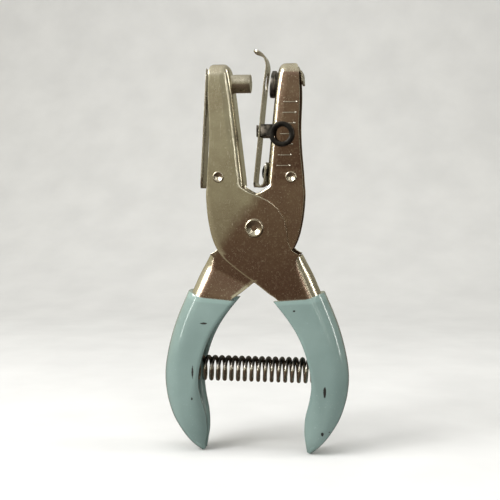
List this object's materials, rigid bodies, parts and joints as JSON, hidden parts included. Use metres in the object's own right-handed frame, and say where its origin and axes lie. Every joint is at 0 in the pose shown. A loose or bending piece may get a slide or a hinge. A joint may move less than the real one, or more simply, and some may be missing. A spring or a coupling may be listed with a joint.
{
  "type": "hand-held single hole punch",
  "caption": "Plier-style paper hole punch with folded sheet levers crossing at a rivet, a round punch and die, a sliding gauge, a return spring and dipped grips.",
  "frame": {"origin": "on the surface that the handle tips stand on, midway between the handles", "axes": "+Z from the handle tips to the jaws, +X to the tool's right as its front is seen, -Y the front face"},
  "size_m": [0.0652, 0.015, 0.1408],
  "materials": {
    "nickel_plate": "worn warm nickel plating over stamped sheet steel",
    "spring_steel": "bright drawn and rolled spring steel",
    "tool_steel": "ground hardened steel",
    "rivet_steel": "bright headed rivet steel",
    "black_oxide": "blackened steel",
    "grip_coat": "glossy grey-teal dipped vinyl coat"
  },
  "bodies": {
    "die_side": {"die_lever": "nickel_plate", "die_bushing": "tool_steel", "stripper": "spring_steel", "stripper_rivet": "nickel_plate", "backing_tab": "nickel_plate", "die_jaw_rivet": "nickel_plate", "pivot_rivet": "rivet_steel", "pivot_spacer": "rivet_steel", "left_grip": "grip_coat", "left_spring_stud": "rivet_steel", "handle_spring": "spring_steel"},
    "punch_side": {"punch_lever": "nickel_plate", "punch_pin": "tool_steel", "backing_leaf": "nickel_plate", "punch_jaw_rivet": "nickel_plate", "right_grip": "grip_coat", "right_spring_stud": "rivet_steel"},
    "gauge": {"paper_gauge": "black_oxide"}
  },
  "joints": [
    {"name": "squeeze", "type": "hinge", "parent": "die_side", "child": "punch_side", "pos_m": [0, 0, 0.0797], "axis": [0, 1, 0], "range_deg": [0, 9.5], "stiffness_Nm_per_rad": 1.2, "springref_deg": -20.05, "deforming": ["handle_spring"]},
    {"name": "gauge_slide", "type": "slide", "parent": "die_side", "child": "gauge", "axis": [0.0995, 0, 0.995], "range_m": [-0.008, 0.0085]}
  ]
}
